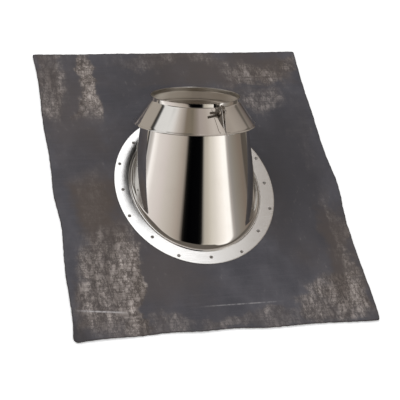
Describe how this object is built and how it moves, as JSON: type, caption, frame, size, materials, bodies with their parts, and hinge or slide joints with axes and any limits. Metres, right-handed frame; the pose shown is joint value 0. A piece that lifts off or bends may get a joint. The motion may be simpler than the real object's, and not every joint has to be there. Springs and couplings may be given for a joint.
{
  "type": "pipe flashing boot",
  "caption": "Roof flashing for a round flue: flat lead apron, riveted oval metal ring, slanted polished cone and a split storm collar with a clamp screw.",
  "frame": {"origin": "middle of the oval opening, on the underside of the lead apron, which lies on the roof", "axes": "+Y up the roof slope, +Z square to the roof and away from it, +X across the roof; the flue leans 38 degrees from +Z towards +Y"},
  "size_m": [0.681, 0.803, 0.2258],
  "materials": {
    "lead_sheet": "matt rolled lead sheet, dark grey with pale brown-grey patina",
    "brushed_ring": "brushed stainless steel",
    "rivet_metal": "dull grey rivet heads",
    "polished_sheet": "mirror-polished stainless steel sheet",
    "fastener_metal": "plain stainless fastener"
  },
  "bodies": {
    "root": {"lead_apron": "lead_sheet", "flange_ring": "brushed_ring", "ring_rivets": "rivet_metal", "flashing_cone": "polished_sheet", "storm_collar": "polished_sheet", "clamp_ear_left": "polished_sheet", "clamp_ear_right": "polished_sheet", "clamp_screw": "fastener_metal", "clamp_nut": "fastener_metal"}
  },
  "joints": []
}
